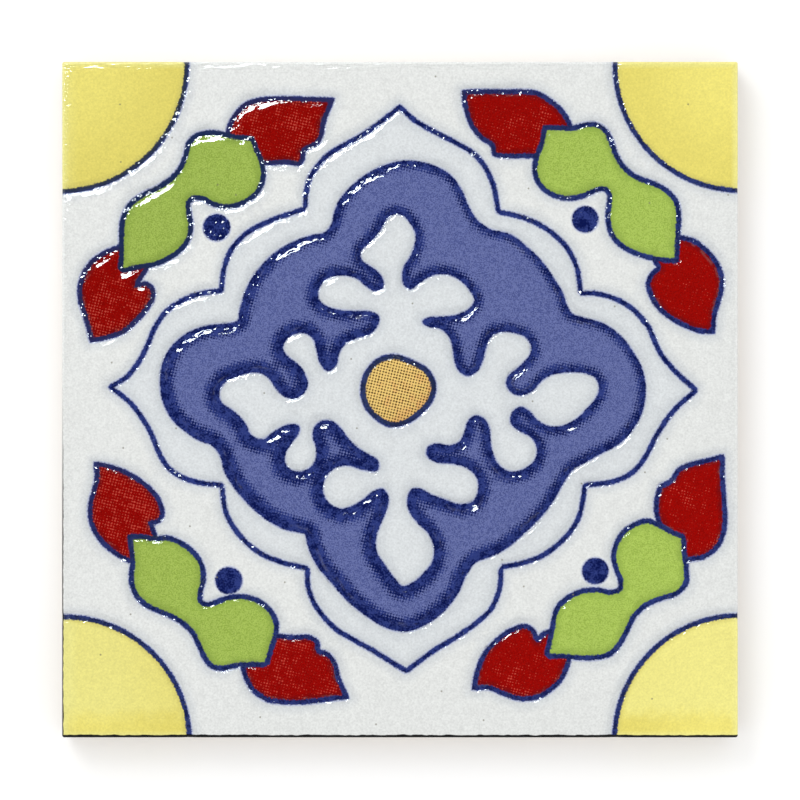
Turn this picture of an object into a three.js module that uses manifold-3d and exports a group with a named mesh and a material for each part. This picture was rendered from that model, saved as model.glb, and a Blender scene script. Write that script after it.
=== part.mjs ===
// A square floral wall tile: one pressed and glazed ceramic slab, lying face up.
// Millimetres, +Z up, origin at the centre of the back face, +Y towards the top of the ornament.
// The glaze stands in raised fields, parted by narrow sunken lines that draw the ornament.
import * as THREE from "three";
import { mergeVertices } from "three/addons/utils/BufferGeometryUtils.js";
import Module from "manifold-3d";

const wasm = await Module();
wasm.setup();

// The slab
const tileSide = 108;
const bodyThickness = 6;
const glazeDepth = 0.5;
const edgeRounding = 0.5;

// The sunken lines, and the dots sunk to the same floor
const lineWidth = 0.75;
const dotRadius = 2.1;
const dotSetback = 25.2; // from each of a corner's two edges to the dot's centre

// The corner quarter discs and the disc in the middle
const cornerDiscRadius = 20;
const centreDiscRadius = 5.6;

// The middle of the ornament lies a little above the middle of the tile
const ornamentRise = 1.4;

// The medallion: how far its outline reaches from its middle
const medallionTip = 46;
const medallionCusp = 32.4;
const medallionCuspAngle = 28.4; // degrees from the nearest axis
const medallionLobe = 34.6; // on the diagonal

// The blue field in the medallion: long lobes on the axes, short ones on the diagonals
const fieldLongLobe = 38;
const fieldNotch = 28.8;
const fieldNotchAngle = 25.4;
const fieldShortLobe = 31.2;

// The white flower on the field: four arms, each with an end leaf and two side leaves
const armReach = 29;
const armNeckHalfWidth = 1.8;
const endLeafHalfWidth = 4.5;
const sideLeafSpread = 12.4;
const flowerHeart = 8.3; // where the heart of the flower reaches on the diagonal, in x and in y

// A corner's motifs, by how far they lie in from its two edges
const leafReach = 32.6; // the far end of the double leaf
const budTip = 43.8;
const budFoot = 27;
const budBack = 4.8;
const budFront = 15;

// How finely the curves are cut, and how far a cutter stands above the face
const stepsPerSpan = 2;
const discSteps = 32;
const dotSteps = 12;
const cornerDiscSteps = 60;
const overcut = 1;

const { lerp, degToRad } = THREE.MathUtils;
const quarterTurns = [0, 1, 2, 3];
const knot = (x, y) => ({ x, y, isCorner: false });
const asCorner = (k) => ({ ...k, isCorner: true });

// A knot at a distance from the middle, at an angle from +Y towards +X.
function polarKnot(reach, angle) {
  return knot(reach * Math.sin(degToRad(angle)), reach * Math.cos(degToRad(angle)));
}

// A knot or a point turned about the middle by a number of quarter turns, and one with x and y swapped.
function turned(p, turns) {
  const cosine = [1, 0, -1, 0][turns];
  const sine = [0, 1, 0, -1][turns];
  return { ...p, x: p.x * cosine + p.y * sine, y: p.y * cosine - p.x * sine };
}
const swapped = (p) => ({ ...p, x: p.y, y: p.x });

// Half of an outline that ends on the diagonal becomes the whole: there and back.
const mirroredOverDiagonal = (half) => [...half, ...half.slice(0, -1).reverse().map(swapped)];

// An eighth of an outline, from the +Y axis to the diagonal, becomes the closed outline, set in its place.
function eightfold(eighth) {
  const quarter = mirroredOverDiagonal(eighth).slice(0, -1);
  const around = quarterTurns.flatMap((turns) => quarter.map((k) => turned(k, turns)));
  return around.map((k) => ({ ...k, y: k.y + ornamentRise }));
}

// The points of one smooth run of knots, without its last point.
function runPoints(knots, isClosed) {
  const places = knots.map((k) => new THREE.Vector3(k.x, k.y, 0));
  const curve = new THREE.CatmullRomCurve3(places, isClosed, "centripetal");
  const spans = isClosed ? knots.length : knots.length - 1;
  const points = curve.getPoints(spans * stepsPerSpan).slice(0, -1);
  return points.map((p) => new THREE.Vector2(p.x, p.y));
}

// A closed outline's points: a smooth curve through its knots, broken at each corner.
function outlinePoints(knots) {
  const first = knots.findIndex((k) => k.isCorner);
  if (first < 0) return runPoints(knots, true);
  const around = [...knots.slice(first), ...knots.slice(0, first), knots[first]];
  const points = [];
  let run = [around[0]];
  for (const k of around.slice(1)) {
    run.push(k);
    if (!k.isCorner) continue;
    points.push(...runPoints(run, false));
    run = [k];
  }
  return points;
}

function circlePoints(radius, steps, centre) {
  return new THREE.EllipseCurve(centre.x, centre.y, radius, radius).getPoints(steps).slice(0, -1);
}

// An outline moved outwards by a distance, or inwards by a negative one, with mitred corners.
function grown(points, distance) {
  const side = THREE.ShapeUtils.area(points) > 0 ? distance : -distance;
  const sharpest = 0.5; // keeps the mitre of a very sharp corner short
  return points.map((p, i) => {
    const before = points.at(i - 1);
    const after = points[(i + 1) % points.length];
    const arriving = p.clone().sub(before).normalize();
    const leaving = after.clone().sub(p).normalize();
    const along = arriving.clone().add(leaving).normalize();
    const reach = side / Math.max(sharpest, along.dot(arriving));
    return new THREE.Vector2(p.x + along.y * reach, p.y - along.x * reach);
  });
}

// A three.js geometry as a solid that can be cut and joined.
function solidOf(geometry) {
  const bare = new THREE.BufferGeometry();
  bare.setAttribute("position", geometry.getAttribute("position"));
  const merged = mergeVertices(bare, 1e-4);
  const vertProperties = merged.getAttribute("position").array;
  const triVerts = new Uint32Array(merged.index.array);
  return new wasm.Manifold(new wasm.Mesh({ numProp: 3, vertProperties, triVerts }));
}

// A solid as a plain three.js geometry.
function geometryOf(solid) {
  const { vertProperties, triVerts } = solid.getMesh();
  const geometry = new THREE.BufferGeometry();
  geometry.setAttribute("position", new THREE.BufferAttribute(vertProperties, 3));
  geometry.setIndex(new THREE.BufferAttribute(triVerts, 1));
  geometry.computeVertexNormals();
  return geometry;
}

// A flat shape as a cutter, from the floor of the lines to above the face.
function cutter(shape) {
  const depth = glazeDepth + overcut;
  const geometry = new THREE.ExtrudeGeometry(shape, { depth, bevelEnabled: false });
  return solidOf(geometry.translate(0, 0, bodyThickness));
}

// The sunken line that follows an outline: a hole winds the other way round from its shape.
function lineAlong(points) {
  const band = new THREE.Shape(grown(points, lineWidth / 2));
  band.holes.push(new THREE.Path(grown(points, -lineWidth / 2).reverse()));
  return cutter(band);
}

// The slab before the ornament, with its edges rounded over at the back and at the face.
function slab() {
  const half = tileSide / 2 - edgeRounding;
  const square = new THREE.Shape();
  square.moveTo(-half, -half);
  square.lineTo(half, -half);
  square.lineTo(half, half);
  square.lineTo(-half, half);
  const geometry = new THREE.ExtrudeGeometry(square, {
    depth: bodyThickness + glazeDepth - 2 * edgeRounding,
    bevelThickness: edgeRounding,
    bevelSize: edgeRounding,
    bevelSegments: 3,
  });
  return solidOf(geometry.translate(0, 0, edgeRounding));
}

// The medallion: a point on each axis, an ogee down to a cusp, and a low lobe over each diagonal.
function medallionOutline() {
  const ogee = (turn, fall) =>
    polarKnot(lerp(medallionTip, medallionCusp, fall), lerp(0, medallionCuspAngle, turn));
  const lobe = (turn, rise) =>
    polarKnot(lerp(medallionCusp, medallionLobe, rise), lerp(medallionCuspAngle, 45, turn));
  const eighth = [
    asCorner(ogee(0, 0)),
    ogee(0.3, 0.3),
    ogee(0.55, 0.49),
    ogee(0.79, 0.72),
    asCorner(ogee(1, 1)),
    lobe(0.46, 0.73),
    lobe(1, 1),
  ];
  return outlinePoints(eightfold(eighth));
}

function fieldOutline() {
  const longLobe = (turn, fall) =>
    polarKnot(lerp(fieldLongLobe, fieldNotch, fall), lerp(0, fieldNotchAngle, turn));
  const shortLobe = (turn, rise) =>
    polarKnot(lerp(fieldNotch, fieldShortLobe, rise), lerp(fieldNotchAngle, 45, turn));
  const eighth = [
    longLobe(0, 0),
    longLobe(0.43, 0.23),
    longLobe(0.75, 0.65),
    longLobe(1, 1),
    shortLobe(0.44, 0.5),
    shortLobe(1, 1),
  ];
  return outlinePoints(eightfold(eighth));
}

// From an arm's tip: its end leaf, the finger of field below, a side leaf, the next finger, the heart.
function flowerOutline() {
  const endLeaf = (width, reach) => knot(endLeafHalfWidth * width, armReach * reach);
  const sideLeaf = (spread, reach) => knot(sideLeafSpread * spread, armReach * reach);
  const neck = (reach) => knot(armNeckHalfWidth, armReach * reach);
  const eighth = [
    endLeaf(0, 1),
    endLeaf(0.73, 0.91),
    endLeaf(1, 0.79),
    endLeaf(0.76, 0.69),
    neck(0.6),
    neck(0.555),
    sideLeaf(0.37, 0.6),
    sideLeaf(0.66, 0.645),
    sideLeaf(0.93, 0.615),
    sideLeaf(1, 0.53),
    sideLeaf(0.84, 0.47),
    sideLeaf(0.53, 0.465),
    sideLeaf(0.3, 0.445),
    sideLeaf(0.27, 0.395),
    knot(flowerHeart * 0.7, flowerHeart * 1.19),
    knot(flowerHeart, flowerHeart),
  ];
  return outlinePoints(eightfold(eighth));
}

// A point of a corner's motifs, from how far it lies in from the corner's two edges.
const inFromCorner = (k) => ({ ...k, x: tileSide / 2 - k.x, y: tileSide / 2 - k.y });

// The double leaf: from the notch by the dot, round one lobe to the waist by the corner disc, and back.
function leafOutline() {
  const leaf = (x, y) => knot(leafReach * x, leafReach * y);
  const half = [
    leaf(0.64, 0.64),
    leaf(0.725, 0.625),
    leaf(0.845, 0.64),
    leaf(0.965, 0.57),
    leaf(1, 0.46),
    asCorner(leaf(0.965, 0.345)),
    leaf(0.8, 0.315),
    leaf(0.69, 0.32),
    leaf(0.62, 0.405),
    leaf(0.525, 0.525),
  ];
  return mirroredOverDiagonal(half).slice(0, -1).map(inFromCorner);
}

// A bud: from its tip along its back to its foot, which a leaf covers, and round its front.
function budOutline() {
  const bud = (length, depth) => knot(lerp(budFoot, budTip, length), lerp(budBack, budFront, depth));
  const around = [
    asCorner(bud(1, 0)),
    bud(0.65, 0),
    bud(0.28, 0.02),
    bud(0.08, 0.2),
    bud(0, 0.56),
    bud(0.18, 0.84),
    asCorner(bud(0.36, 1)),
    asCorner(bud(0.68, 1)),
    bud(0.75, 0.82),
    bud(0.9, 0.6),
    bud(0.98, 0.28),
  ];
  return around.map(inFromCorner);
}

// The lines and the dot of one corner: +X +Y, turned about the tile by a number of quarter turns.
function cornerCutters(turns) {
  const placed = (knots) => outlinePoints(knots.map((k) => turned(k, turns)));
  const leaf = placed(leafOutline());
  const leafArea = cutter(new THREE.Shape(leaf));
  const buds = [budOutline(), budOutline().map(swapped)];
  const budLines = buds.map((bud) => lineAlong(placed(bud)).subtract(leafArea));
  const dotCentre = turned(inFromCorner(knot(dotSetback, dotSetback)), turns);
  const dot = cutter(new THREE.Shape(circlePoints(dotRadius, dotSteps, dotCentre)));
  const tileCorner = turned(inFromCorner(knot(0, 0)), turns);
  const disc = lineAlong(circlePoints(cornerDiscRadius, cornerDiscSteps, tileCorner));
  return [lineAlong(leaf), ...budLines, dot, disc];
}

function tileSolid() {
  const cutters = [
    lineAlong(medallionOutline()),
    lineAlong(fieldOutline()),
    lineAlong(flowerOutline()),
    lineAlong(circlePoints(centreDiscRadius, discSteps, knot(0, ornamentRise))),
    ...quarterTurns.flatMap(cornerCutters),
  ];
  return cutters.reduce((solid, line) => solid.subtract(line), slab());
}

const glazedClay = new THREE.MeshStandardMaterial({ color: 0xe4e6e5, roughness: 0.15, metalness: 0 });

const tile = new THREE.Mesh(geometryOf(tileSolid()), glazedClay);
tile.name = "tile";

const group = new THREE.Group();
group.add(tile);

export default group;
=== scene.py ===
import math

import bpy
import numpy as np
from mathutils.geometry import delaunay_2d_cdt
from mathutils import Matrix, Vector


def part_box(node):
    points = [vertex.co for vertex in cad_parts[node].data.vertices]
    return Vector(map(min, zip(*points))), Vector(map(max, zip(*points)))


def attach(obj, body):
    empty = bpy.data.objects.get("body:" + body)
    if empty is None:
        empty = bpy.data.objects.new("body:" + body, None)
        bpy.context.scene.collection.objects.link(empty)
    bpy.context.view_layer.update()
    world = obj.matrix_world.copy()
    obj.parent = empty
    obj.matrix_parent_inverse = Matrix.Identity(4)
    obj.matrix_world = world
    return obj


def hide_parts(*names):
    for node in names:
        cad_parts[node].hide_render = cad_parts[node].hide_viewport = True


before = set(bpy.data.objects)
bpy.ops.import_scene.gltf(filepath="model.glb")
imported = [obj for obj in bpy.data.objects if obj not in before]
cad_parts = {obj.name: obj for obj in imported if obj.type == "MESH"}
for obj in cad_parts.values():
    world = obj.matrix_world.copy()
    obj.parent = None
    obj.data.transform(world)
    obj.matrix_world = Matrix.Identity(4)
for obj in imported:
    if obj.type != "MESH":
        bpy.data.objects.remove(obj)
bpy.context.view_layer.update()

mm = 0.001
tileLow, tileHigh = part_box("tile")
halfSide = (tileHigh.x - tileLow.x) / 2 / mm
tileHeight = (tileHigh.z - tileLow.z) / mm


# Camera: straight down, as the photograph looks at the tile
camera = {
    "focalLength": 135.0,
    "sensor": 36.0,
    "fieldOfView": 127.8,  # mm of the tile's face that the picture's side spans
    "lookAt": (0.0, -0.06),  # mm from the tile's middle
}


def addCamera(view):
    data = bpy.data.cameras.new("camera")
    data.lens = view["focalLength"]
    data.sensor_width = view["sensor"]
    data.clip_end = 10
    thing = bpy.data.objects.new("camera", data)
    distance = view["fieldOfView"] * view["focalLength"] / view["sensor"]
    x, y = view["lookAt"]
    thing.location = (x * mm, y * mm, (tileHeight + distance) * mm)
    bpy.context.scene.collection.objects.link(thing)
    bpy.context.scene.camera = thing


addCamera(camera)
print("camera placed")


# The drawn ornament, in mm. A knot with a third value is a sharp corner of its outline.
sharp = True

medallionKnots = [
    (0, 46.8, sharp), (2.1, 44.8), (5.7, 42.7), (9.2, 40.9), (12.1, 39), (13.8, 36.8), (14.9, 34.2),
    (15.7, 30, sharp), (19.4, 29.15), (22.4, 27.9), (24.8, 26.2), (26.7, 24.2), (28.1, 21.5),
    (28.9, 17, sharp), (31.6, 16.9), (33.8, 16.3), (35.9, 15.35), (38, 13.7), (39.6, 11.7), (41.6, 7.4),
    (44, 4.5), (47.3, 1.5, sharp), (43.7, -1.8), (41, -5.7), (39.4, -8.8), (37.3, -11.5), (34.6, -12.9),
    (29.5, -13.7, sharp), (29.2, -16.2), (28.6, -18.7), (27.3, -21), (25.5, -22.9), (23, -24.8),
    (19.9, -26), (16.05, -26.8, sharp), (16.1, -28.6), (15.6, -31.2), (14.5, -33.5), (12.4, -35.5),
    (9.2, -37.8), (5.7, -39.9), (1, -43.4, sharp), (-4.3, -40.1), (-7.5, -38.3), (-10.3, -36.6),
    (-12.2, -34.7), (-13.6, -32.7), (-14.6, -30.2), (-14.8, -26.95, sharp), (-18.9, -26), (-21.4, -25),
    (-23.9, -23.4), (-26, -21.2), (-27.6, -18.6), (-28.5, -13.6, sharp), (-32.3, -13.2), (-34.8, -12.4),
    (-36.9, -11), (-38.3, -8.9), (-39.5, -6), (-41.2, -2.9), (-43.3, -0.3), (-46.3, 2, sharp),
    (-43.7, 3.6), (-41.8, 5.9), (-40.3, 8.8), (-39.1, 11.6), (-37.3, 14.1), (-34.8, 15.8), (-32, 16.9),
    (-28.5, 17.4, sharp), (-28.3, 19.8), (-27.7, 22.3), (-26.5, 24.6), (-25.1, 26.1), (-23.4, 27.3),
    (-20.9, 28.5), (-15.1, 30.5, sharp), (-15, 32.9), (-14.4, 35.4), (-13.1, 37.4), (-11.5, 39.1),
    (-10.1, 40.05), (-7.4, 41.5), (-4.8, 43.1),
]
fieldKnots = [
    (0.5, 38.1), (5, 37.5), (7.8, 36.1), (9.7, 33.7), (10.9, 31), (12.2, 28.8), (14.2, 27.3), (17.8, 26.3),
    (20.6, 24.1), (22.8, 21.9), (24.6, 19.3), (26, 17), (26.6, 15.2), (27.4, 13.8), (29.5, 13), (32.3, 12.2),
    (35.2, 10.2), (37.3, 7.5), (38.8, 4.5), (39.2, 1.3), (38.7, -1.9), (37.3, -4.6), (35.2, -6.9),
    (32.3, -8.5), (29.8, -9.9), (27.7, -11.1), (26.3, -13), (24.7, -15.8), (22.9, -18.3), (19.9, -21.3),
    (16.6, -24), (14.4, -25.1), (11.9, -26.1), (10.5, -28.2), (9.2, -31), (7.1, -33.7), (4.3, -35.8),
    (1.2, -37), (-1.8, -36.6), (-5, -34.8), (-8.2, -32.3), (-10.9, -29.3), (-13.3, -26.4), (-14.6, -23.6),
    (-15.1, -21.4, sharp), (-18.7, -20.6), (-21.1, -19.3), (-23.8, -17.1), (-26.3, -14.3), (-28, -11.5),
    (-28.8, -8.8), (-29.9, -7.4), (-32.3, -6.4), (-34.5, -4.9), (-36.2, -3.4), (-37.7, -0.8), (-38.3, 2.6),
    (-37.9, 5.8), (-36.3, 8.7), (-33.8, 10.7), (-30.6, 11.8), (-27.2, 12.2), (-25.9, 12.6), (-25.6, 14.2),
    (-24.9, 16.7), (-23.8, 19.1), (-22.1, 21.4), (-19.9, 23.5), (-17.2, 25.1), (-14.2, 26.2), (-12, 26.7),
    (-10.9, 28), (-10.5, 29.8), (-9.6, 31.9), (-7.8, 34), (-5.3, 36), (-2.5, 37.4),
]
flowerKnots = [
    (0.2, 29.6), (1.8, 28.1), (2.6, 26), (2.2, 24.1), (1.6, 22.7), (0.7, 21.3), (0.4, 19.5), (0.8, 18.2),
    (1.7, 17.7), (2.8, 18.5), (4.3, 19.5), (6, 20.1), (7.9, 20), (9.9, 18.9), (11.4, 17.2), (12, 16),
    (11.3, 14.7), (9.4, 13.6), (6.8, 13.2), (4.4, 13), (3.5, 12.5), (4.4, 11.8), (6.4, 11.4), (7.7, 10.4),
    (8.4, 8.7), (8.7, 6.6), (9.3, 4.8), (10.8, 3.8), (12.3, 4.6), (13.3, 6.6), (13.8, 8.6), (14.6, 10.2),
    (16.3, 10.9), (18.4, 10.7), (20.1, 10), (21, 8.7), (20.9, 7.3), (19.8, 5.9), (18.5, 4.7), (17.4, 3.8),
    (17, 2.6), (17.7, 1.3), (19.3, 0.7), (21.2, 1.5), (22.7, 3.1), (24.4, 4.1), (26.7, 4.4), (29.5, 4.3),
    (31.2, 3.6), (31.9, 2), (31.4, 0.3), (29.9, -1.5), (28, -3.3), (26.2, -4.2), (23.8, -4.3), (21.8, -3.2),
    (20.6, -1.8), (19.3, -1.2), (18, -2.1), (17.7, -3.6), (19.2, -5), (20.9, -5.9), (21.9, -7.5),
    (21.7, -9.5), (20.1, -11), (17.8, -11.6), (16.2, -10.9), (14.9, -8.9), (14.4, -6.5), (14.2, -4.4),
    (13.3, -3), (12, -2.6), (10.9, -3.5), (10.4, -5.2), (9.5, -6.8), (7.8, -7.4), (5.7, -7.1), (4.5, -7.6),
    (4.3, -8.9), (5.7, -9.9), (8.4, -10.2), (10.6, -10.8), (12.2, -12.2), (12.6, -14.3), (11.7, -16.3),
    (9.6, -16.8), (7.1, -16), (4.9, -15.2), (3.2, -14.3), (2, -14.3), (1.3, -15.5), (1.4, -17.5),
    (2.8, -19.6), (4.6, -21.4), (5.5, -23.5), (5.3, -25.7), (3.9, -27.7), (2.2, -29.2), (0.4, -29.9),
    (-1, -28.5), (-2.5, -26.4), (-3.8, -24.3), (-3.9, -22.1), (-3.2, -20), (-2.3, -17.9), (-1.9, -15.6),
    (-2.7, -14.3), (-4.2, -14.7), (-5.7, -15.9), (-7.5, -17), (-9.6, -17.5), (-11.5, -16.5),
    (-12.4, -14.5), (-11.9, -12.3), (-10.3, -10.8), (-8.3, -10.5), (-5.8, -11.2), (-3.5, -11.2),
    (-3.5, -9.9), (-5.3, -8.7), (-7.1, -7.5), (-8.5, -6), (-9.6, -4.5), (-10.9, -3.5), (-12.3, -3.4),
    (-13.5, -4.2), (-13.9, -5.8), (-13.3, -7.9), (-13.5, -9.8), (-14.6, -11.1), (-16.4, -11.6),
    (-18.1, -10.8), (-18.5, -9), (-17.4, -6.9), (-16.2, -5.3), (-16.1, -4.3), (-17.6, -4), (-19.7, -4.9),
    (-22.2, -6.4), (-23.7, -5.8), (-24.8, -3.8), (-26.6, -1.9), (-28.7, -0.3), (-29, 1.1), (-28, 2.8),
    (-25.9, 3.8), (-23.5, 4.4), (-22, 4.2), (-20.8, 3.3), (-19.8, 1.8), (-18.5, 0.6), (-17, 0.2),
    (-15.6, 0.9), (-14.8, 2.5), (-15.3, 4.2), (-16.6, 5.8), (-17.9, 6.8), (-18.8, 8.1), (-18.3, 9.6),
    (-16.9, 10.5), (-15.2, 10.7), (-13.9, 9.8), (-13.3, 8), (-12.7, 5.8), (-11.6, 4.6), (-10.3, 5.4),
    (-9.8, 7.4), (-8.5, 9.2), (-6.8, 9.9), (-4.9, 10.5), (-3.6, 11.9), (-3.4, 13.3), (-4.7, 14),
    (-7.2, 14.1), (-9.8, 14.3), (-11.8, 14.9), (-13.1, 16.1), (-13.1, 17.4), (-12.3, 18.9), (-10.6, 19.8),
    (-8.5, 19.9), (-6.7, 19.3), (-5.3, 18.1), (-4, 17.4), (-2.8, 17.8), (-2.7, 19), (-3.6, 20.4),
    (-5, 21.4), (-6.2, 22.3), (-6.4, 23.4), (-5.3, 24.8), (-3.9, 26.2), (-2.9, 27.6), (-2.1, 29),
    (-1, 29.7),
]
centreKnots = [
    (-1, 6.8), (1.8, 5.9), (4.2, 4.5), (5.3, 2.4), (4.9, 0.2), (3.1, -2), (0.7, -3.6), (-1.5, -3.9),
    (-3.9, -2.6), (-5.5, -0.5), (-5.8, 2.3), (-5, 4.5), (-3.5, 6.1),
]
leafKnots = {
    "topLeft": [
        (-34.2, 39.4), (-33.8, 41), (-32.6, 42.2), (-31, 42.7), (-28.8, 42.6), (-26.5, 42.1),
        (-23.6, 41.8, sharp), (-22.9, 40), (-22.1, 38), (-21.8, 36), (-22.2, 34.2), (-23.3, 32.6),
        (-25.2, 31.4), (-27.6, 30.8), (-29.8, 31.2), (-31.6, 32.1), (-33, 32.2), (-33.8, 31.4),
        (-33.7, 29.9), (-33.4, 28.2), (-33.6, 26.3), (-34.7, 24.3), (-36.6, 22.8), (-38.9, 21.7),
        (-41.5, 21.2), (-44.8, 20.5, sharp), (-44.6, 23.4), (-44.6, 26.4), (-44.3, 29), (-43.2, 31.2),
        (-41.4, 32.6), (-38.6, 34), (-36.1, 35.8), (-34.8, 37.7),
    ],
    "topRight": [
        (23.1, 43.6, sharp), (25.4, 43.5), (27.8, 43.5), (29.8, 44), (31.6, 43.9), (32.9, 43), (33.8, 41.3),
        (34.5, 39.3), (35.8, 37.2), (38, 35.5), (40.5, 34.6), (42.7, 33.4), (44.1, 31.8), (44.6, 29.7),
        (44.5, 27), (44.3, 22.1, sharp), (41.9, 22.3), (39.4, 22.8), (36.9, 23.7), (34.8, 25.1),
        (33.5, 27.1), (33.2, 29.4), (33.4, 31.4), (33.4, 33), (32.6, 33.7), (31.5, 33.5), (30.1, 32.9),
        (28, 32.2), (25.6, 32.3), (23.4, 33.3), (22, 34.9), (21.5, 36.9), (21.8, 38.9), (22.6, 40.9),
    ],
    "bottomLeft": [
        (-43.3, -21.8, sharp), (-41.2, -21.9), (-39.1, -22.2), (-36.9, -22.1), (-34.8, -23),
        (-32.8, -24.6), (-31.6, -26.7), (-31.4, -28.9), (-31.9, -31), (-31.8, -32.3), (-30.8, -32.7),
        (-29.4, -32.3), (-27.3, -31.6), (-24.8, -31.5), (-22.4, -32.3), (-20.6, -33.9), (-19.7, -36),
        (-19.9, -37.8), (-20.6, -40), (-21.3, -42.5, sharp), (-23.5, -42.4), (-26, -42.5), (-28.4, -43),
        (-30.2, -42.6), (-31.3, -41.2), (-32.2, -39.2), (-33.5, -36.9), (-35.6, -35.2), (-38.4, -33.9),
        (-40.9, -32.7), (-42.4, -31), (-43, -28.6), (-42.8, -26.1), (-43, -23.9),
    ],
    "bottomRight": [
        (39.5, -19.35), (37.6, -19.9), (35.9, -21), (34.6, -22.9), (34.1, -25), (34.5, -27), (35.2, -28.9),
        (35.2, -30.2), (34, -30.75), (31.6, -30.4), (29.1, -30.6), (26.7, -31.7), (25, -33.5),
        (24.4, -36), (23.9, -38.5), (23.3, -41.1, sharp), (26, -41.1), (28.5, -41.3), (31.2, -41.3),
        (33.4, -40.8), (35, -39.3), (36.3, -37), (37.6, -34.5), (39.5, -32.8), (41.9, -31.8),
        (44.4, -30.9), (45.7, -29.5), (45.8, -27), (45.5, -24.3), (45.4, -21.9, sharp), (43.4, -21.1),
        (41.4, -20),
    ],
}
budKnots = {
    "topLeftUpper": [
        (-10.7, 48, sharp), (-11.6, 45.9), (-12.2, 44.3), (-12.5, 42.4), (-13.2, 41), (-14.8, 40.2),
        (-15.5, 39.7, sharp), (-15.5, 38.5), (-16.1, 37.6, sharp), (-18.2, 37.9), (-20.2, 37.8),
        (-22, 37.8, sharp), (-25, 39), (-27.8, 42, sharp), (-27.2, 44), (-26.2, 45.8), (-24.8, 47.2),
        (-22.4, 48), (-19.2, 48.2), (-14.8, 48.1),
    ],
    "topLeftLower": [
        (-49.4, 9.4, sharp), (-49.9, 11.6), (-50.5, 13.8), (-51.2, 16), (-51.2, 18.2), (-50.6, 20.2),
        (-49.2, 22.2), (-47.3, 23.5), (-44.8, 24.5, sharp), (-42, 23.5), (-40.2, 21.2, sharp),
        (-41.2, 19.8), (-42.1, 18.3, sharp), (-40.7, 18.6), (-39.6, 17.9), (-39.4, 16.6), (-40.4, 14.6),
        (-42, 12.7), (-44.1, 10.9), (-46.8, 9.9),
    ],
    "topRightUpper": [
        (10.1, 49.2, sharp), (13, 49.3), (16.4, 49.3), (19.6, 49.3), (21.7, 49.1), (23.8, 48), (25.6, 46.5),
        (26.7, 45), (27.4, 43.5, sharp), (24.5, 41.5), (22.2, 38.9, sharp), (19.6, 38.9), (16.8, 38.9),
        (15, 39.1, sharp), (14.8, 40.5), (12.9, 41.9), (11.4, 43.9), (10.5, 46.4),
    ],
    "topRightLower": [
        (50.1, 10.8, sharp), (47.9, 10.9), (45.5, 11.8), (43, 13.2), (41.2, 14.8), (40.1, 16.6),
        (39.6, 18.6), (40.1, 19.9), (41.4, 21.1, sharp), (40.5, 22.4, sharp), (42.5, 24.5),
        (44.7, 26, sharp), (46.6, 25.6), (48.7, 24.2), (50.4, 22.3), (51.4, 20.1), (51.5, 18),
        (51, 15.9), (50.4, 13.8),
    ],
    "bottomLeftUpper": [
        (-48.7, -10.2, sharp), (-46.5, -10.6), (-44, -11.5), (-41.6, -12.9), (-39.4, -14.8),
        (-38.2, -16.8), (-38, -18.6), (-38.8, -19.6), (-39.9, -19.7, sharp), (-39, -22, sharp),
        (-41, -24.5), (-43.2, -25.9, sharp), (-45.2, -24.8), (-47.3, -23.2), (-48.9, -21), (-49.6, -18.6),
        (-49.5, -16.4), (-48.9, -14.3), (-48.5, -12.2),
    ],
    "bottomLeftLower": [
        (-8.4, -47.6, sharp), (-9.8, -44.5), (-10.5, -42), (-11.6, -40.6), (-13.1, -40.2, sharp),
        (-13.2, -38.7), (-14.3, -38), (-17, -37.95), (-19.7, -37.7, sharp), (-22.5, -39.5),
        (-25.2, -42.8, sharp), (-24.7, -44.5), (-23.4, -46.6), (-21.3, -48), (-18.8, -48.4),
        (-14, -48.3), (-10.4, -47.8),
    ],
    "bottomRightLower": [
        (11.7, -46.2, sharp), (14.2, -46.1), (16.4, -47), (19.6, -47.9), (22, -47.6), (24.5, -46.1),
        (26.3, -43.9), (27.1, -41.5, sharp), (25.5, -39), (24, -37, sharp), (22.9, -37.4),
        (21.9, -38.6, sharp), (21.5, -37.1), (20.2, -36.2), (18, -36.7), (15.6, -38.3), (13.5, -40.6),
        (12.3, -43.4),
    ],
    "bottomRightUpper": [
        (51.6, -9, sharp), (49, -9.7), (46.2, -10.4), (44.4, -11.3), (43.4, -12.9), (41.6, -13.8, sharp),
        (41, -15.8), (40.9, -17.8), (41.4, -19.8, sharp), (43.5, -22.5), (45.7, -25.7, sharp),
        (49, -25), (51, -23.2), (51.9, -20.7), (52, -17.9), (51.8, -15), (51.6, -11.9),
    ],
}
dots = [(-29.3, 27.5, 2.1), (29.6, 28.8, 2.05), (-27.35, -28.9, 2.1), (31.2, -27.4, 2.05)]  # x, y, radius
cornerDiscs = [(-54.4, 53.6, 20.3), (54.45, 53.5, 20.05), (-53.6, -54.7, 19.95), (54.2, -54.45, 19.9)]

grown = {
    "medallion": 0.03, "blue": 0.11, "centre": 0.075, "leaf": -0.05, "bud": -0.07, "dot": 0.09, "disc": 0.0,
}
relief = {
    "depth": 0.37,  # of the sunken lines below the glaze
    "blueDeeper": 0.2,  # share by which the blue field's lines are deeper than the others
    "floorHalf": 0.26,  # half the width of a line's floor
    "shoulder": 1.21,  # width of the slope from the floor up to a field
    "bend": 0.1,  # share of the slope's width that each of its rounded ends takes
    "crown": 0.04,  # how much a wide field swells in its middle
    "crownReach": 3.5,  # from a line, over which the field swells
    "waviness": 0.012,
    "beads": 0.03,  # height of the beads in the lines
    "dotDip": 0.1,  # depth of the round dots
    "dotEdge": 0.35,  # to each side of a dot's edge, over which it dips
    "edgeInset": 0.3,  # from the blue field's edge to the middle of its sunken line
    "drawnBack": 0.11,  # depth of the broken trough where the glaze drew back from the rim
    "troughPlace": 0.8,  # from the tile's side to the middle of the trough
    "troughHalf": 0.2,
    "rimDip": 0.06,  # how much lower the glaze lies at the rim
    "rimDipReach": 0.4,
    "faceGap": 0.02,  # between the glaze's highest place and the solid's top
}
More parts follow.
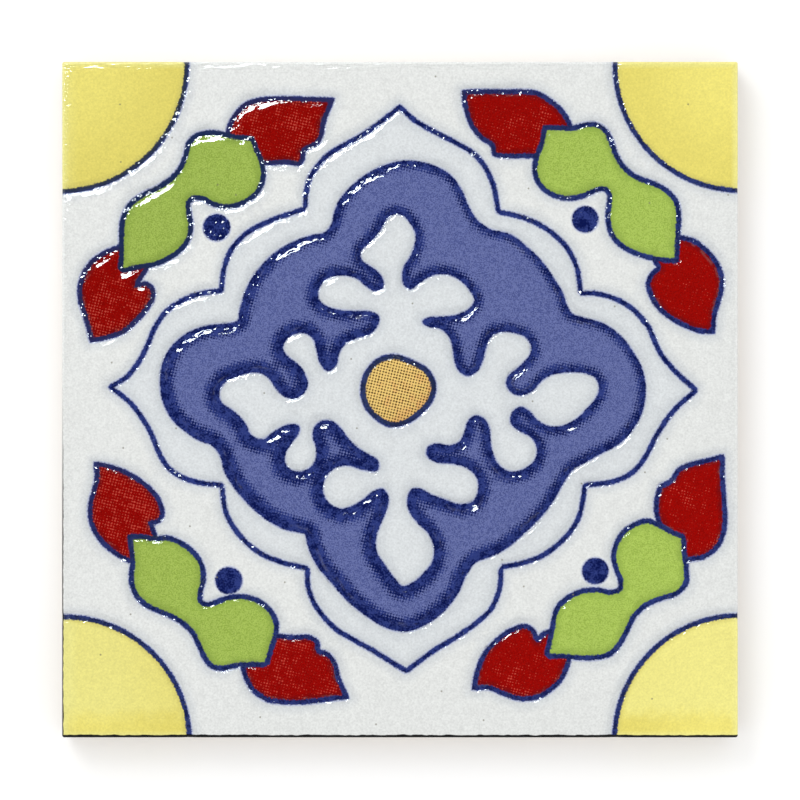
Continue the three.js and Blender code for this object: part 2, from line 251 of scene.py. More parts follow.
# What wanders along the tile: how much, the size of its waves in mm, and the seed of its random draw
wander = {
    "floorHalf": (0.14, 0.75, 11),  # mm
    "broadSlope": (0.5, 2.8, 12),  # share of the shoulder's width
    "fineSlope": (0.15, 1.1, 13),
    "wideIsDeep": 0.26,  # share of the depth that goes with a broad slope
    "broadWaves": (1.0, 7, 14),  # share of the waviness
    "fineWaves": (0.6, 2.6, 15),
    "beads": (1.0, 0.7, 16),  # share of their height
    "depth": (0.32, 3.3, 18),  # share of it
    "troughPlace": (0.25, 1.4, 21),  # mm
    "troughBreaks": (1.0, 2.2, 22),
    "troughShare": 0.3,  # is added to its breaks; the trough is gone where their sum is below 0
}
skin = {
    "rows": (0, 0.14, 0.3, 0.47, 0.64, 0.81, 0.98, 1.15, 1.34, 1.6),  # mm from a line's middle, to each side
    "alongStep": 0.42,
    "offRow": 0.06,  # how far a point may be from its row before it is left out
    "dotRings": 8,
    "dotStep": 0.38,
    "dotRim": 0.5,  # how far the rings reach beyond a dot
    "dotClear": 0.6,  # how far from a dot the rows stop
    "openStep": 1.05,
    "openMargin": 0.35,  # between the last row and the open fields
    "closest": 0.11,
    "rimInset": 0.28,
    "rimHeight": 1.1,  # of the rounded rim, over its width
    "rimStep": 0.32,
    "rimRows": (0.14, 0.3, 0.46, 0.64, 0.9),  # mm inwards from the rim's inner edge
    "rimClear": 0.2,  # from the rim's inner edge to where the rows of the lines stop
    "openClear": 0.6,  # from there to the open fields
    "cornerRadius": 0.35,
    # Inset and height of the rings below the rounded rim: down the side and under the lower edge
    "sideRings": ((0, tileHeight * 0.55), (0, 0.5), (0.15, 0.15), (0.5, 0)),
    "wavyShare": 0.3,  # upper share of the side that follows the rim's waves, less and less downwards
}


# A closed curve through the knots: each span is a cubic whose tangents weigh the two chords at a knot by
# each other's length; at a sharp knot the tangent lies along the span. Points lie one step apart.
def throughKnots(knots, step):
    p = np.array([k[:2] for k in knots], float)
    isSharp = np.array([len(k) > 2 for k in knots])[:, None]
    chord = np.roll(p, -1, 0) - p
    length = np.linalg.norm(chord, axis=1, keepdims=True)
    way = chord / length
    lengthBefore = np.roll(length, 1, 0)
    bend = (np.roll(way, 1, 0) * length + way * lengthBefore) / (length + lengthBefore)
    leaving = np.where(isSharp, way, bend) * length
    arriving = np.where(np.roll(isSharp, -1, 0), way, np.roll(bend, -1, 0)) * length
    t = np.linspace(0, 1, 24, endpoint=False)[None, :, None]
    start, end = p[:, None], np.roll(p, -1, 0)[:, None]
    curve = (
        start * (2 * t**3 - 3 * t**2 + 1) + leaving[:, None] * (t**3 - 2 * t**2 + t)
        + end * (3 * t**2 - 2 * t**3) + arriving[:, None] * (t**3 - t**2)
    ).reshape(-1, 2)
    ring = np.vstack([curve, curve[:1]])
    travelled = np.r_[0, np.cumsum(np.linalg.norm(np.diff(ring, axis=0), axis=1))]
    stops = np.linspace(0, travelled[-1], max(12, round(travelled[-1] / step)), endpoint=False)
    return np.c_[np.interp(stops, travelled, ring[:, 0]), np.interp(stops, travelled, ring[:, 1])]


def circle(x, y, radius, step):
    turn = np.linspace(0, 2 * np.pi, max(12, round(2 * np.pi * radius / step)), endpoint=False)
    return np.c_[x + radius * np.cos(turn), y + radius * np.sin(turn)]


# Distance from each point to a closed loop, positive inside. The nearest place on each straight piece is
# its start plus the clipped share of the piece; a point is inside if a ray to the right crosses the loop
# an odd number of times. Points further than the margin from the loop's box get minus the margin.
def signedDistance(points, loop, margin=7.0):
    result = np.full(len(points), -margin)
    near = np.all((points > loop.min(0) - margin) & (points < loop.max(0) + margin), axis=1)
    places = np.flatnonzero(near)
    a, b = loop, np.roll(loop, -1, 0)
    piece = b - a
    squared = (piece**2).sum(1)
    pairsAtOnce = 4_000_000
    for some in np.array_split(places, max(1, len(places) * len(loop) // pairsAtOnce)):
        x, y = points[some, 0][:, None], points[some, 1][:, None]
        dx, dy = x - a[:, 0], y - a[:, 1]
        share = np.clip((dx * piece[:, 0] + dy * piece[:, 1]) / squared, 0, 1)
        nearest = ((dx - share * piece[:, 0]) ** 2 + (dy - share * piece[:, 1]) ** 2).min(1)
        spans = (a[:, 1] > y) != (b[:, 1] > y)
        rise = np.where(b[:, 1] == a[:, 1], 1, b[:, 1] - a[:, 1])
        crossing = spans & (dx < piece[:, 0] * (y - a[:, 1]) / rise)
        inside = crossing.sum(1) % 2 == 1
        result[some] = np.sqrt(nearest) * np.where(inside, 1, -1)
    return np.maximum(result, -margin)


# Smooth noise from -1 to 1: random values on a square lattice, eased between by 3t^2 - 2t^3.
def softNoise(x, y, size, seed):
    side = 256
    lattice = np.random.default_rng(seed).uniform(-1, 1, (side, side))
    u, v = x / size + side / 2, y / size + side / 2
    i, j = np.floor(u).astype(int) % (side - 1), np.floor(v).astype(int) % (side - 1)
    u, v = u - np.floor(u), v - np.floor(v)
    u, v = u * u * (3 - 2 * u), v * v * (3 - 2 * v)
    low = lattice[i, j] * (1 - u) + lattice[i + 1, j] * u
    high = lattice[i, j + 1] * (1 - u) + lattice[i + 1, j + 1] * u
    return low * (1 - v) + high * v


fineStep = 0.45
medallion = throughKnots(medallionKnots, fineStep)
field = throughKnots(fieldKnots, fineStep)
flower = throughKnots(flowerKnots, fineStep)
centre = throughKnots(centreKnots, fineStep)
leaves = [throughKnots(knots, fineStep) for knots in leafKnots.values()]
buds = [throughKnots(knots, fineStep) for knots in budKnots.values()]
print("ornament drawn:", 4 + len(leaves) + len(buds), "outlines")


# Signed distances to every kind of outline, positive inside. The blue field is inside its own outline and
# outside the flower's; a bud ends where a leaf lies over it.
def measure(points):
    def widest(distances):
        return np.maximum.reduce(list(distances))

    def toCircles(circles):
        return widest(r - np.hypot(points[:, 0] - x, points[:, 1] - y) for x, y, r in circles)

    found = {
        "medallion": signedDistance(points, medallion),
        "blue": np.minimum(signedDistance(points, field), -signedDistance(points, flower)),
        "centre": signedDistance(points, centre),
        "leaf": widest(signedDistance(points, loop) for loop in leaves),
        "bud": widest(signedDistance(points, loop) for loop in buds),
        "dot": toCircles(dots),
        "disc": toCircles(cornerDiscs),
    }
    return {name: distance + grown[name] for name, distance in found.items()}


# Distance to the middle of the nearest sunken line
def toNearestLine(d):
    budLine = np.maximum(np.abs(d["bud"]), d["leaf"])
    blueLine = np.abs(d["blue"] - relief["edgeInset"])
    lines = [np.abs(d[name]) for name in ("medallion", "centre", "leaf", "disc")]
    return np.minimum.reduce([*lines, budLine, blueLine])


# Height of the glaze above the solid's back, in mm: the line's floor, then a straight slope with a short
# bend at either end, then a low crown; plus waves, beads in the lines, sunken dots and, near the rim, a
# shallow broken trough of bell shape.
def faceHeight(points, d, lineDistance):
    r = relief

    def noise(name):
        amount, size, seed = wander[name]
        return amount * softNoise(points[:, 0], points[:, 1], size, seed)

    broad = noise("broadSlope")
    shoulder = r["shoulder"] * (1 + broad + noise("fineSlope"))
    t = np.clip((lineDistance - r["floorHalf"] - noise("floorHalf")) / shoulder, 0, 1)
    bend = r["bend"]
    slope = (t + bend * np.exp(-t / bend) - bend * np.exp(-(1 - t) / bend) - bend) / (1 - 2 * bend)
    slope = np.clip(slope, 0, 1)
    crown = r["crown"] * (1 - np.exp(-lineDistance / r["crownReach"]))
    waves = r["waviness"] * (noise("broadWaves") + noise("fineWaves")) * slope
    beads = r["beads"] * np.abs(noise("beads")) * (1 - slope)
    dotDip = r["dotDip"] * np.clip((d["dot"] + r["dotEdge"]) / (2 * r["dotEdge"]), 0, 1)
    deeper = wander["wideIsDeep"] * broad / wander["broadSlope"][0]
    depth = r["depth"] * (1 + deeper + noise("depth"))
    depth *= 1 + r["blueDeeper"] * np.clip(d["blue"] + 0.5, 0, 1)

    fromRim = halfSide - np.abs(points).max(1)
    trough = np.exp(-(((fromRim - r["troughPlace"] - noise("troughPlace")) / r["troughHalf"]) ** 2))
    trough *= r["drawnBack"] * np.clip(wander["troughShare"] + noise("troughBreaks"), 0, 1)
    trough += r["rimDip"] * np.exp(-np.clip(fromRim - skin["rimInset"], 0, None) / r["rimDipReach"])
    height = -depth * (1 - slope) + crown + waves + beads - dotDip - trough
    top = r["crown"] + r["waviness"] * (wander["broadWaves"][0] + wander["fineWaves"][0])
    return tileHeight - r["faceGap"] + np.minimum(height - top, 0)


# The square of the tile, inset by a distance, with rounded corners: arcs between straight sides.
def squareLoop(inset, radius, step):
    half = halfSide - inset
    sideCount = round(2 * (half - radius) / step)
    side = np.linspace(-(half - radius), half - radius, sideCount, endpoint=False)[1:]
    arcTurn = np.linspace(-np.pi / 2, 0, 5)
    arc = (half - radius) * np.array([1, -1]) + radius * np.c_[np.cos(arcTurn), np.sin(arcTurn)]
    quarter = np.vstack([np.c_[side, np.full(len(side), -half)], arc])
    turns = [np.linalg.matrix_power(np.array([[0, 1], [-1, 0]]), k) for k in range(4)]
    return np.vstack([quarter @ turn for turn in turns])


# The points of the face: a row at each distance to both sides of every line, each line's cross-section
# carried along it; an even spread in the open fields; and rows along the rim.
def facePoints():
    inset = relief["edgeInset"]
    step = skin["alongStep"]
    drawn = [(throughKnots(medallionKnots, step), -grown["medallion"])]
    drawn += [(throughKnots(fieldKnots, step), inset - grown["blue"])]
    drawn += [(throughKnots(flowerKnots, step), grown["blue"] - inset)]
    drawn += [(throughKnots(centreKnots, step), -grown["centre"])]
    drawn += [(throughKnots(knots, step), -grown["leaf"]) for knots in leafKnots.values()]
    drawn += [(throughKnots(knots, step), -grown["bud"]) for knots in budKnots.values()]
    drawn += [(circle(*disc, step), -grown["disc"]) for disc in cornerDiscs]
    rows = []
    for row in skin["rows"]:
        for sign in (1, -1)[: 1 if row == 0 else 2]:
            for loop, middle in drawn:
                ahead = np.roll(loop, -1, 0) - np.roll(loop, 1, 0)
                ahead /= np.linalg.norm(ahead, axis=1, keepdims=True)
                area = (loop[:, 0] * np.roll(loop[:, 1], -1) - loop[:, 1] * np.roll(loop[:, 0], -1)).sum()
                inward = np.c_[-ahead[:, 1], ahead[:, 0]] * np.sign(area)
                rows.append(np.c_[loop + inward * (middle + sign * row), np.full(len(loop), row)])
    onDot = -1  # in place of a row's distance
    for x, y, radius in dots:
        for k in range(1, skin["dotRings"] + 1):
            ring = circle(x, y, (radius + skin["dotRim"]) * k / skin["dotRings"], skin["dotStep"])
            rows.append(np.c_[ring, np.full(len(ring), onDot)])
    rows = np.vstack(rows)
    limit = halfSide - skin["rimInset"] - skin["rimClear"]
    rows = rows[np.all(np.abs(rows[:, :2]) < limit, axis=1)]
    distances = measure(rows[:, :2])
    lineDistance = toNearestLine(distances)
    byDot = distances["dot"] > -skin["dotClear"]
    onRow = np.abs(lineDistance - rows[:, 2]) < skin["offRow"]
    onLines = rows[(rows[:, 2] == onDot) | (onRow & ~byDot), :2]

    # The open fields have points at the corners of equal-sided triangles.
    count = round(2 * limit / skin["openStep"])
    rowGap = 0.866
    i, j = np.meshgrid(np.arange(count), np.arange(round(count / rowGap)))
    spread = np.c_[(i + 0.5 * (j % 2)).ravel(), rowGap * j.ravel()] * skin["openStep"] - limit
    spread = spread[np.all(np.abs(spread) < limit - skin["openClear"], axis=1)]
    fromLines = toNearestLine(measure(spread))
    spread = spread[fromLines > skin["rows"][-1] + skin["openMargin"]]

    insets = [skin["rimInset"] + row for row in skin["rimRows"]]
    rim = [squareLoop(inset, skin["cornerRadius"], skin["rimStep"]) for inset in insets]
    inner = np.vstack([*rim, onLines, spread])
    cells = np.floor(inner / skin["closest"]).astype(int)
    _, first = np.unique(cells[:, 0] * 4096 + cells[:, 1], return_index=True)
    return inner[np.sort(first)]


# A float value on each vertex, for the materials to read
def setAttribute(mesh, name, values):
    mesh.attributes.new(name, "FLOAT", "POINT").data.foreach_set("value", values.astype(np.float32))


# The tile as one closed skin: the face's points joined by Delaunay triangles, then rings of quads over the
# rounded rim, down the sides and under the lower edge, and one flat back.
def tileMesh():
    loop = squareLoop(skin["rimInset"], skin["cornerRadius"], skin["rimStep"])
    points = np.vstack([loop, facePoints()])
    joined = delaunay_2d_cdt(points.tolist(), [], [list(range(len(loop)))], 1, 1e-6, False)
    points = np.array([tuple(v) for v in joined[0]])
    triangles = np.array(joined[2])
    across = points[triangles]
    u, v = across[:, 1] - across[:, 0], across[:, 2] - across[:, 0]
    clockwise = u[:, 0] * v[:, 1] - u[:, 1] * v[:, 0] < 0
    triangles[clockwise] = triangles[clockwise][:, ::-1]

    distances = measure(points)
    lineDistance = toNearestLine(distances)
    face = np.c_[points, faceHeight(points, distances, lineDistance)]

    width, height = skin["rimInset"], skin["rimInset"] * skin["rimHeight"]
    over = np.linspace(0, np.pi / 2, 6)[1:]
    profile = [(width * (1 - math.sin(a)), tileHeight - height * (1 - math.cos(a))) for a in over]
    profile += skin["sideRings"]
    rim = face[: len(loop)]
    wavy = skin["wavyShare"] * tileHeight
    rings = []
    for inset, z in profile:
        scale = (halfSide - inset) / (halfSide - skin["rimInset"])
        fade = np.clip((z - tileHeight + wavy) / wavy, 0, 1)
        level = z + (rim[:, 2] - tileHeight) * fade
        rings.append(np.c_[rim[:, :2] * scale, level])
    vertices = np.vstack([face, *rings])
    around = measure(vertices[len(face) :, :2])
    around["line"] = toNearestLine(around)
    distances["line"] = lineDistance

    count, ringCount = len(loop), len(profile)
    here = np.arange(count)
    after = (here + 1) % count
    starts = [0] + [len(face) + k * count for k in range(ringCount)]
    bands = zip(starts, starts[1:])
    quads = np.vstack([np.c_[up + here, low + here, low + after, up + after] for up, low in bands])
    back = (starts[-1] + here)[::-1]

    corners = np.concatenate([triangles.ravel(), quads.ravel(), back])
    sizes = np.concatenate([np.full(len(triangles), 3), np.full(len(quads), 4), [count]])
    mesh = bpy.data.meshes.new("glazed_tile")
    mesh.vertices.add(len(vertices))
    mesh.vertices.foreach_set("co", (vertices * mm).astype(np.float32).ravel())
    mesh.loops.add(len(corners))
    mesh.loops.foreach_set("vertex_index", corners.astype(np.int32))
    mesh.polygons.add(len(sizes))
    mesh.polygons.foreach_set("loop_start", np.r_[0, np.cumsum(sizes)[:-1]].astype(np.int32))
    mesh.polygons.foreach_set("use_smooth", np.r_[np.ones(len(sizes) - 1, bool), False])
    mesh.update(calc_edges=True)
    for name, values in distances.items():
        setAttribute(mesh, name, np.r_[values, around[name]])
    print("tile skin:", len(vertices), "vertices,", len(triangles) + 2 * len(quads) + count - 2, "triangles")
    return mesh


# A shader socket that takes part in sums: each operator adds a Math node.
class Term:
    def __init__(self, finish, socket):
        self.finish, self.socket = finish, socket

    def math(self, operation, *others):
        return self.finish.node("ShaderNodeMath", {"operation": operation}, dict(enumerate([self, *others])))

    def __add__(self, other):
        return self.math("ADD", other)

    def __sub__(self, other):
        return self.math("SUBTRACT", other)

    def __rsub__(self, other):
        return (self * -1) + other

    def __mul__(self, other):
        return self.math("MULTIPLY", other)

    def __neg__(self):
        return self * -1

    def __abs__(self):
        return self.math("ABSOLUTE")

    __radd__ = __add__
    __rmul__ = __mul__


class Finish:
    def __init__(self, name):
        self.material = bpy.data.materials.new(name)
        self.material.use_nodes = True
        self.tree = self.material.node_tree
        self.tree.nodes.clear()

    # Adds a node: its settings first, then its sockets' values or links; gives one output as a Term.
    def node(self, kind, settings=None, sockets=None, output=0):
        made = self.tree.nodes.new(kind)
        for key, value in (settings or {}).items():
            setattr(made, key, value)
        for key, value in (sockets or {}).items():
            if isinstance(value, Term):
                self.tree.links.new(value.socket, made.inputs[key])
            else:
                made.inputs[key].default_value = value
        return Term(self, made.outputs[output]) if made.outputs else made

    def attribute(self, name):
        return self.node("ShaderNodeAttribute", {"attribute_name": name}, output=2)

    # From 0 to 1 as a value passes from low to high, eased
    def step(self, value, low, high):
        sockets = {"Value": value, "From Min": low, "From Max": high}
        return self.node("ShaderNodeMapRange", {"interpolation_type": "SMOOTHSTEP"}, sockets)

    def mix(self, factor, a, b):
        return self.node("ShaderNodeMix", {"data_type": "RGBA"}, {0: factor, 6: a, 7: b}, output=2)

    def noise(self, place, size, detail=2.0):
        sockets = {"Vector": place, "Scale": 1 / size, "Detail": detail}
        return self.node("ShaderNodeTexNoise", None, sockets)


# A colour as it is seen on a screen, 0 to 255, as the renderer's own
def seen(red, green, blue, brightness=1.0):
    values = [c / 255 for c in (red, green, blue)]
    linear = [c / 12.92 if c < 0.04045 else ((c + 0.055) / 1.055) ** 2.4 for c in values]
    return (*[c * brightness for c in linear], 1.0)


glaze = {
    "exposure": 0.915,  # how bright a colour is in the material, for it to be right in the light of the scene
    "white": (229, 231, 229),
    "whiteInner": (221, 225, 227),
    # painted shade of the grooves on the white by the lines, with the glaze's bluish tint there
    "whiteShadedByLine": (203, 208, 213),
    "halo": (160, 171, 220),  # where the navy bled into the white
    "yellow": (229, 216, 111),
    "yellowOuter": (239, 227, 122),
    "yellowPale": (240, 234, 145),
    "yellowEdge": (214, 204, 112),
    "green": (174, 200, 95),
    "greenEdge": (142, 169, 74),
    "greenDark": (146, 172, 73),
    "red": (156, 9, 5),
    "redDark": (134, 6, 4),
    "redEdge": (116, 14, 18),
    "redDot": (222, 88, 72),
    "blue": (110, 120, 175),
    "blueShade": (77, 87, 142),
    "navy": (50, 64, 132),
    "navyDeep": (11, 22, 79),
    "navyByGreen": (34, 48, 84),
    "navyByRed": (46, 46, 88),
    "navyByYellow": (50, 58, 70),
    "ochre": (240, 204, 122),
    "ochreRed": (230, 172, 108),
    "ochreDot": (66, 36, 8),
    "clay": (214, 199, 178),
    "clayDark": (188, 170, 146),
    "speck": (120, 116, 96),
    # near black, the painted shadow along the lower and left arrises
    "paintedShadow": (12, 11, 12),
    # Lengths in mm
    "lineHalf": 0.41,
    "edgeBlur": 0.12,  # to each side of an edge between two colours
    "haloReach": 0.34,  # beyond a line
    "haloStrength": 0.6,
    "lineShadeStrength": 0.65,
    "screenPitch": 0.459,  # between the dots of the printed screen
    "screenTurn": -14.0,  # degrees
    "inkEnds": 3.15,  # from the blue field's edge to where its navy is only the screen's own dots
    "inkFull": 0.62,  # from the edge to where the navy starts to thin
    "glazeWhole": 1.7,  # from the top, down to which the side is glazed
    "glazeEnds": 2.1,
    # how far down the side the painted shadow reaches, and where it is full
    "paintedShadowEnds": 0.8,
    "paintedShadowFull": 0.5,
    "roughness": 0.07,
    "rimRoughness": 0.9,
    "clayRoughness": 0.85,
    # Sizes of the noises' grains
    "mottle": 0.2,
    "grain": 0.3,
    "fine": 0.6,
    "streak": 0.7,
    "lump": 0.8,
    "blotch": 1.5,
    "cluster": 4.0,
    "broad": 9.0,
    # Heights of the bumps, and where the streaks start and are full, from the tile's middle
    "lumpOnLine": 0.7,
    "lumpLessOnBlue": 0.34,
    "lumpOnDot": 0.46,
    "peelFine": 0.016,
    "peelBroad": 0.05,
    "pits": 0.1,  # of the bare clay
    "topStreaks": 0.24,
    "leftStreaks": 0.22,
    "streaksFrom": 51.9,
    "topStreaksFull": 53.2,
    "leftStreaksFull": 53.3,
}


def glazedClay():
    f = Finish("glazed_clay")
    colours = {name: value for name, value in glaze.items() if isinstance(value, tuple)}
    tone = {name: seen(*value, glaze["exposure"]) for name, value in colours.items()}
    onTile = f.node("ShaderNodeTexCoord", output=3)
    place = f.node("ShaderNodeVectorMath", {"operation": "SCALE"}, {0: onTile, "Scale": 1 / mm})  # in mm
    axes = [f.node("ShaderNodeSeparateXYZ", None, {"Vector": place}, output=k) for k in range(3)]
    x, y, height = axes
    turn = math.radians(glaze["screenTurn"])
    waves = 2 * math.pi / glaze["screenPitch"]
    along = x * (math.cos(turn) * waves) + y * (math.sin(turn) * waves)
    across = y * (math.cos(turn) * waves) - x * (math.sin(turn) * waves)
    screen = along.math("COSINE") + across.math("COSINE")  # 2 at a dot, -2 between

    names = ("medallion", "blue", "centre", "leaf", "bud", "dot", "disc", "line")
    medallionD, blueD, centreD, leafD, budD, dotD, discD, lineD = [f.attribute(name) for name in names]
    grain = f.noise(place, glaze["grain"], 1.0)
    fine = f.noise(place, glaze["fine"], 2.0)
    blotch = f.noise(place, glaze["blotch"], 2.0)
    broad = f.noise(place, glaze["broad"], 1.0)
    fuzz = (grain - 0.5) * 0.4 + (blotch - 0.5) * 0.22  # mm by which an edge strays
    blur = glaze["edgeBlur"]

    def inside(distance, edge=0.0):
        return f.step(distance + fuzz, edge - blur, edge + blur)

    # How far a place is from the middle of the nearest navy line; a bud's line ends where a leaf lies over it
    toStroke = abs(medallionD).math("MINIMUM", abs(budD).math("MAXIMUM", leafD))
    toStroke = toStroke.math("MINIMUM", abs(leafD) - 0.02).math("MINIMUM", abs(discD))
    toStroke = toStroke.math("MINIMUM", abs(centreD) - 0.05)
    half = glaze["lineHalf"]

    colour = f.mix(inside(medallionD), tone["white"], tone["whiteInner"])
    # Painted shade: the white turns darker and a little bluer within a few mm of the sunken lines, standing
    # in for the shade of the grooves, along with the glaze's own bluish tint there
    shadeByLine = f.step(lineD + (blotch - 0.5) * 0.8, 2.5, 0.4)
    colour = f.mix(shadeByLine * glaze["lineShadeStrength"], colour, tone["whiteShadedByLine"])
    toNavy = toStroke.math("MINIMUM", half - blueD).math("MINIMUM", half - dotD)
    bled = f.step(toNavy, half + glaze["haloReach"], half)
    colour = f.mix(bled * glaze["haloStrength"], colour, tone["halo"])

    # The yellow is deepest by its line; the lower pair is pale down to a band along the tile's edge.
    yellow = f.mix(f.step(discD, 1, 15), tone["yellow"], tone["yellowOuter"])
    pale = f.step(y, -20, -22) * f.step(y + (blotch - 0.5) * 3, -52, -48.5) + f.step(x, -51, -53.5) * 0.5
    pale = pale * (1 - f.step(x + blotch * 4, -46, -34) * f.step(x, 0, -20) * 0.35)
    yellow = f.mix(pale * 0.72, yellow, tone["yellowPale"])
    yellow = f.mix(f.step(discD, 1.3, 0.3) * 0.7, yellow, tone["yellowEdge"])
    outward = abs(x).math("MAXIMUM", abs(y))
    yellow = f.mix(f.step(outward, halfSide - 1.3, halfSide - 0.4) * 0.7, yellow, tone["yellowPale"])
    colour = f.mix(inside(discD), colour, yellow)

    # Buds and leaves are darker by their lines; the screen's dots show in the red where it is worn.
    mottle = f.noise(place, glaze["mottle"], 1.0) * 0.6 + grain * 0.25 + fine * 0.15
    red = f.mix(f.step(mottle, 0.42, 0.6), tone["red"], tone["redDark"])
    red = f.mix(f.step(budD + (blotch - 0.5), 1.4, 0.3), red, tone["redEdge"])
    worn = f.step(blotch + (broad - 0.5) * 0.8 - x * 0.0022, 0.44, 0.72)  # where the screen left gaps
    dotted = f.step(screen + (grain - 0.5) * 6.0 + worn * 1.4 - f.step(x, -10, 30) * 0.35, 1.5, 3.0)
    red = f.mix(dotted * 0.55, red, tone["redDot"])
    colour = f.mix(inside(budD), colour, red)
    green = f.mix(f.step(mottle, 0.42, 0.6), tone["green"], tone["greenDark"])
    green = f.mix(f.step(leafD + (blotch - 0.5) * 1.5, 1.7, 0.3) * 0.8, green, tone["greenEdge"])
    colour = f.mix(inside(leafD), colour, green)

    # The blue field turns navy by its edge, dot by dot; the ochre's dots are nearly black.
    blue = f.mix(f.step(mottle, 0.42, 0.58), tone["blue"], tone["blueShade"])
    inkEdge = blueD + (blotch - 0.5) * 0.9 + (broad - 0.5) * 0.5 + (x + y) * 0.014
    ink = f.step(inkEdge, glaze["inkEnds"], glaze["inkFull"])  # how much of the screen is navy
    inked = f.step(screen + (grain - 0.5) * 1.6 + ink * 5.2, 1.8, 3.7)
    navy = f.mix(f.step(grain * 0.5 + blotch * 0.5, 0.4, 0.6), tone["navy"], tone["navyDeep"])
    colour = f.mix(inside(blueD), colour, f.mix(inked, blue, navy))
    ochre = f.mix(f.step(blotch + (x - y) * 0.03, 0.4, 0.75) * 0.7, tone["ochre"], tone["ochreRed"])
    ochre = f.mix(f.step(screen + (grain - 0.5) * 3.4, 0.0, 1.3), ochre, tone["ochreDot"])
    colour = f.mix(inside(centreD), colour, ochre)

    # The navy of the lines takes a little of the colour that it borders, most at the upper left.
    strokes = f.step(toStroke + fuzz, half + blur, half - blur).math("MAXIMUM", inside(dotD))
    taken = f.step(y - x, -10, 70) * 0.6 + f.step(centreD, -1.2, -0.8) * 0.25 + 0.25
    line = f.mix(f.step(budD, -0.6, 0.0) * taken, navy, tone["navyByRed"])
    line = f.mix(f.step(leafD, -0.7, -0.2) * taken, line, tone["navyByGreen"])
    line = f.mix(f.step(discD.math("MAXIMUM", centreD), -0.6, 0.1) * taken, line, tone["navyByYellow"])
    colour = f.mix(strokes, colour, line)

    # A few specks on the pale fields, then a sandy unevenness all over
    speckles = f.node("ShaderNodeTexVoronoi", {"voronoi_dimensions": "2D"}, {"Vector": place, "Scale": 0.075})
    onPale = f.step(budD.math("MAXIMUM", blueD), 0.0, -0.3)
    colour = f.mix(f.step(speckles, 0.016, 0.006) * onPale * 0.7, colour, tone["speck"])
    painted = inside(budD).math("MAXIMUM", inside(leafD)).math("MAXIMUM", inside(discD) * 0.4)
    sandy = 0.38 - inside(discD) * 0.08
    uneven = 1 + (grain - 0.5) * sandy + (blotch - 0.5) * 0.08 + (x * 0.0019 - y * 0.0007) * painted
    colour = f.node("ShaderNodeVectorMath", {"operation": "SCALE"}, {0: colour, "Scale": uneven})

    # Painted shadow: a thin near-black line along the lower arris and in places up the left one, standing in
    # for the shade under the tile's edge
    lower = f.step(y + (blotch - 0.5) * 0.4, 0.5 - halfSide, 0.38 - halfSide)
    left = f.step(x + (blotch - 0.5) * 0.3, 0.3 - halfSide, 0.16 - halfSide) * f.step(y, 8, -25)
    down = height - tileHeight  # mm, 0 at the top and less below it
    onArris = f.step(down + (blotch - 0.5) * 0.5, -glaze["paintedShadowEnds"], -glaze["paintedShadowFull"])
    colour = f.mix(lower.math("MAXIMUM", left) * onArris, colour, tone["paintedShadow"])

    clay = f.mix(f.step(blotch, 0.35, 0.65), tone["clay"], tone["clayDark"])
    glazed = f.step(down + (broad - 0.5) * 2.2, -glaze["glazeEnds"], -glaze["glazeWhole"])
    colour = f.mix(glazed, clay, colour)

    # The navy dried in lumps, and the glaze runs smoothly over them up its shoulder. It is drawn out in
    # streaks along the top edge, and it chattered on the left one.
    lumps = f.noise(place, glaze["lump"], 0.7)
    clustered = f.step(f.noise(place, glaze["cluster"], 0.0), 0.35, 0.65) * 0.7 + 0.3
    lumpHeight = glaze["lumpOnLine"] - inside(blueD) * glaze["lumpLessOnBlue"]
    lumpy = f.step(lineD, 0.8, 0.36) * clustered * lumpHeight + inside(dotD, 0.1) * glaze["lumpOnDot"]
    peel = grain * glaze["peelFine"] + blotch * glaze["peelBroad"]
    drawn = f.node("ShaderNodeMapping", {"vector_type": "POINT"}, {"Vector": place, "Scale": (0.3, 1.3, 1.0)})
    atTop = f.step(y, glaze["streaksFrom"], glaze["topStreaksFull"]) * glaze["topStreaks"]
    atLeft = f.step(-x, glaze["streaksFrom"], glaze["leftStreaksFull"]) * glaze["leftStreaks"]
    streaks = (f.noise(drawn, glaze["streak"], 1.5) - 0.5) * atTop + (fine - 0.5) * atLeft
    pits = (1 - glazed) * grain * glaze["pits"]
    surface = peel + (lumps - 0.5) * lumpy + streaks + pits
    bump = f.node("ShaderNodeBump", None, {"Strength": 1.0, "Distance": mm, "Height": surface})

    onRim = f.step(outward, halfSide - 0.45, halfSide - 0.25)
    glossy = glaze["roughness"] + onRim * (glaze["rimRoughness"] - glaze["roughness"])
    shader = f.node("ShaderNodeBsdfPrincipled", None, {
        "Base Color": colour,
        "Roughness": glaze["clayRoughness"] + glazed * (glossy - glaze["clayRoughness"]),
        "IOR": 1.55,
        "Normal": bump,
    })
    f.node("ShaderNodeOutputMaterial", None, {"Surface": shader})
    return f.material


tile = bpy.data.objects.new("glazed_tile", tileMesh())
bpy.context.scene.collection.objects.link(tile)
tile.data.materials.append(glazedClay())
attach(tile, "root")
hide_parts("tile")
print("tile glazed")


studio = {
    "floorSide": 3.0,  # m
    "floorColour": (0.97, 0.97, 0.97, 1.0),
    "sky": 1.02,
    "skyGloss": 0.9,  # of what the glaze mirrors low down; the ceiling is dark
    "darkAbove": 0.55,  # sine of the height over the horizon
    "paleBelow": 0.2,
    "keyPlace": (-0.35, 0.55, 0.6),  # m
    "keySide": 0.4,
    "keyPower": 1.6,  # W
    "tubePlace": (-0.072, 0.141, 0.10),
    "tubeLength": 0.11,
    "tubeWidth": 0.035,
    "tubePower": 0.6,
    "tubeColour": (0.88, 0.98, 1.0),
}


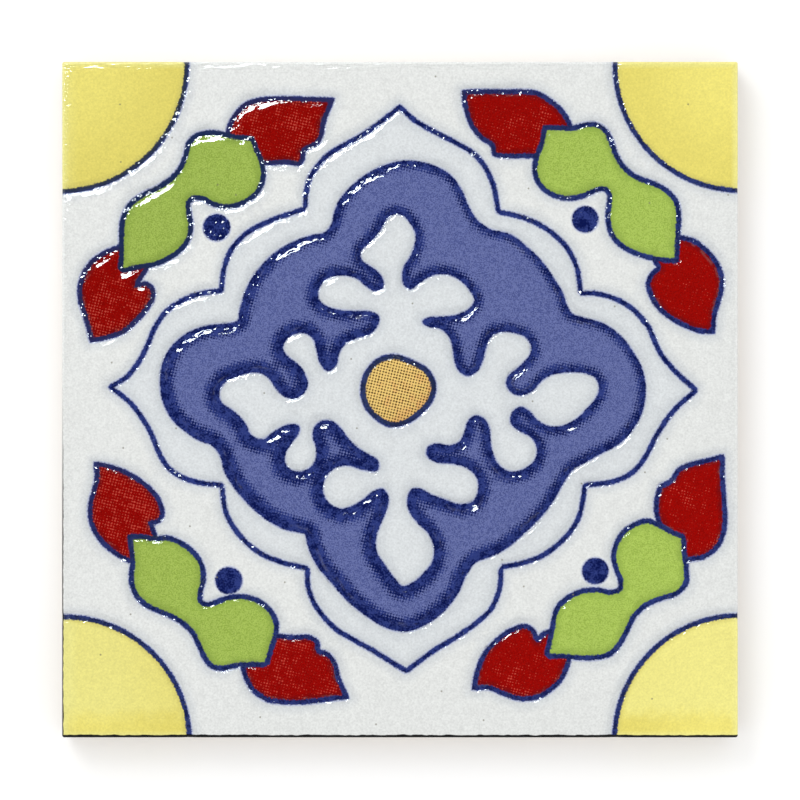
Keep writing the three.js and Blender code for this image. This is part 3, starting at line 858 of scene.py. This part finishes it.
def addFloor():
    h = studio["floorSide"] / 2
    mesh = bpy.data.meshes.new("floor")
    mesh.from_pydata([(-h, -h, 0), (h, -h, 0), (h, h, 0), (-h, h, 0)], [], [(0, 1, 2, 3)])
    floor = bpy.data.objects.new("floor", mesh)
    bpy.context.scene.collection.objects.link(floor)
    f = Finish("pale_floor")
    shader = f.node("ShaderNodeBsdfPrincipled", None, {"Base Color": studio["floorColour"], "Roughness": 0.9})
    f.node("ShaderNodeOutputMaterial", None, {"Surface": shader})
    mesh.materials.append(f.material)


# An area light that faces the tile's middle, its length level
def addLamp(name, place, length, width, power):
    lamp = bpy.data.lights.new(name, "AREA")
    lamp.shape = "RECTANGLE"
    lamp.size = length
    lamp.size_y = width
    lamp.energy = power
    thing = bpy.data.objects.new(name, lamp)
    thing.location = place
    thing.rotation_mode = "QUATERNION"
    thing.rotation_quaternion = (-thing.location).to_track_quat("-Z", "Y")
    bpy.context.scene.collection.objects.link(thing)
    return thing


# The sky lights evenly from all round, while what the glaze mirrors of it is dark overhead and pale near
# the horizon. The soft key shades the relief, and the tube is what the glaze's slopes glint with.
def addLights():
    world = bpy.data.worlds.new("studio")
    bpy.context.scene.world = world
    world.use_nodes = True
    nodes, links = world.node_tree.nodes, world.node_tree.links
    background = nodes["Background"]
    background.inputs["Color"].default_value = (1, 1, 1, 1)
    direction = nodes.new("ShaderNodeTexCoord")
    split = nodes.new("ShaderNodeSeparateXYZ")
    links.new(direction.outputs["Generated"], split.inputs[0])
    low = nodes.new("ShaderNodeMapRange")
    low.inputs["From Min"].default_value = studio["darkAbove"]
    low.inputs["From Max"].default_value = studio["paleBelow"]
    low.inputs["To Min"].default_value = 0.0
    low.inputs["To Max"].default_value = studio["skyGloss"]
    links.new(split.outputs["Z"], low.inputs["Value"])
    path = nodes.new("ShaderNodeLightPath")
    pick = nodes.new("ShaderNodeMix")
    links.new(path.outputs["Is Glossy Ray"], pick.inputs[0])
    pick.inputs[2].default_value = studio["sky"]
    links.new(low.outputs[0], pick.inputs[3])
    links.new(pick.outputs[0], background.inputs["Strength"])

    side = studio["keySide"]
    key = addLamp("key", studio["keyPlace"], side, side, studio["keyPower"])
    key.visible_glossy = False
    length, width = studio["tubeLength"], studio["tubeWidth"]
    tube = addLamp("tube", studio["tubePlace"], length, width, studio["tubePower"])
    tube.data.color = studio["tubeColour"]
    tube.visible_diffuse = False


addFloor()
addLights()
bpy.context.scene.view_settings.view_transform = "Standard"
print("studio lit")
